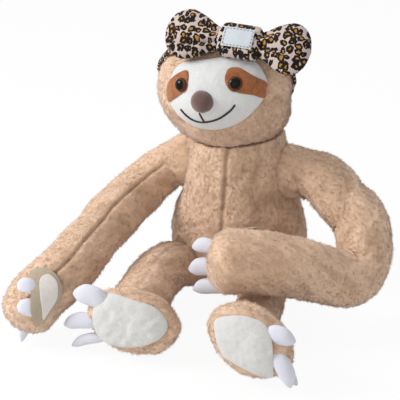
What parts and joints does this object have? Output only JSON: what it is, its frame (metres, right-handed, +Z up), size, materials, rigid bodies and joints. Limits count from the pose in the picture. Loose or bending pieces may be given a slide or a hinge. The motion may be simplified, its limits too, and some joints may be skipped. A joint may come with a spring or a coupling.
{
  "type": "plush sloth",
  "caption": "Soft plush sloth sitting with one arm laid across its belly; head, arms and legs turn where they are sewn on, and a headband with a bow pulls off.",
  "frame": {"origin": "middle of the flat seat under the torso, on the surface that the toy sits on", "axes": "+Z up, -Y the way the toy faces, +X the toy's own left"},
  "size_m": [0.3405, 0.2897, 0.3045],
  "materials": {
    "tan_plush": "long-pile plush with the nap brushed down",
    "white_plush": "short-pile plush",
    "rust_plush": "short-pile plush",
    "sole_plush": "short-pile plush",
    "claw_felt": "brushed felt",
    "nose_velour": "velour",
    "eye_plastic": "polished",
    "washer_plastic": "as moulded",
    "black_thread": "twisted thread",
    "leopard_cloth": "short velvet with a leopard print",
    "label_cloth": "woven ribbon",
    "khaki_fabric": "loop fabric",
    "pad_fabric": "hook-and-loop pad",
    "filling": "loose polyester fibre"
  },
  "bodies": {
    "torso": {"torso_skin": "tan_plush", "torso_filling": "filling"},
    "head": {"head_skin": "tan_plush", "head_filling": "filling", "face_panel": "white_plush", "right_eye_patch": "rust_plush", "left_eye_patch": "rust_plush", "right_eye": "eye_plastic", "left_eye": "eye_plastic", "right_eye_washer": "washer_plastic", "left_eye_washer": "washer_plastic", "nose": "nose_velour", "smile_stitching": "black_thread", "lip_tick_stitching": "black_thread"},
    "headband_bow": {"headband": "leopard_cloth", "bow_knot": "leopard_cloth", "bow_label": "label_cloth", "right_bow_loop": "leopard_cloth", "left_bow_loop": "leopard_cloth"},
    "right_upper_arm": {"right_upper_arm_skin": "tan_plush", "right_upper_arm_filling": "filling"},
    "right_forearm": {"right_forearm_skin": "tan_plush", "right_forearm_filling": "filling", "right_palm_border": "khaki_fabric", "right_palm_pad": "pad_fabric", "right_hand_claw_1": "claw_felt", "right_hand_claw_2": "claw_felt", "right_hand_claw_3": "claw_felt"},
    "right_leg": {"right_leg_skin": "tan_plush", "right_leg_filling": "filling", "right_foot_skin": "tan_plush", "right_foot_filling": "filling", "right_sole": "sole_plush", "right_foot_claw_1": "claw_felt", "right_foot_claw_2": "claw_felt", "right_foot_claw_3": "claw_felt"},
    "left_upper_arm": {"left_upper_arm_skin": "tan_plush", "left_upper_arm_filling": "filling"},
    "left_forearm": {"left_forearm_skin": "tan_plush", "left_forearm_filling": "filling", "left_palm_border": "khaki_fabric", "left_palm_pad": "pad_fabric", "left_hand_claw_1": "claw_felt", "left_hand_claw_2": "claw_felt", "left_hand_claw_3": "claw_felt"},
    "left_leg": {"left_leg_skin": "tan_plush", "left_leg_filling": "filling", "left_foot_skin": "tan_plush", "left_foot_filling": "filling", "left_sole": "sole_plush", "left_foot_claw_1": "claw_felt", "left_foot_claw_2": "claw_felt", "left_foot_claw_3": "claw_felt"}
  },
  "joints": [
    {"name": "head_turn", "type": "hinge", "parent": "torso", "child": "head", "pos_m": [-0.004, -0.0036, 0.167], "axis": [-0.1045, 0, 0.9945], "range_deg": [-35, 35]},
    {"name": "headband_lift", "type": "slide", "parent": "head", "child": "headband_bow", "axis": [-0.0752, 0.6947, 0.7154], "range_m": [0, 0.08]},
    {"name": "right_shoulder_swing", "type": "hinge", "parent": "torso", "child": "right_upper_arm", "pos_m": [-0.056, -0.004, 0.131], "axis": [-1, 0, 0], "range_deg": [0, 70]},
    {"name": "left_shoulder_swing", "type": "hinge", "parent": "torso", "child": "left_upper_arm", "pos_m": [0.056, -0.004, 0.131], "axis": [-1, 0, 0], "range_deg": [0, 30]},
    {"name": "right_elbow_bend", "type": "hinge", "parent": "right_upper_arm", "child": "right_forearm", "pos_m": [-0.1106, -0.0916, 0.0896], "axis": [-0.9363, 0.3511, 0], "range_deg": [0, 40]},
    {"name": "left_elbow_bend", "type": "hinge", "parent": "left_upper_arm", "child": "left_forearm", "pos_m": [0.137, -0.0436, 0.0848], "axis": [-0.3497, 0.3497, 0.8692], "range_deg": [0, 45]},
    {"name": "right_hip_swing", "type": "hinge", "parent": "torso", "child": "right_leg", "pos_m": [-0.038, -0.036, 0.029], "axis": [0, 0, 1], "range_deg": [0, 10]},
    {"name": "left_hip_roll", "type": "hinge", "parent": "torso", "child": "left_leg", "pos_m": [0.038, -0.036, 0.029], "axis": [0.172, -0.9851, -0.007], "range_deg": [0, 15]}
  ]
}
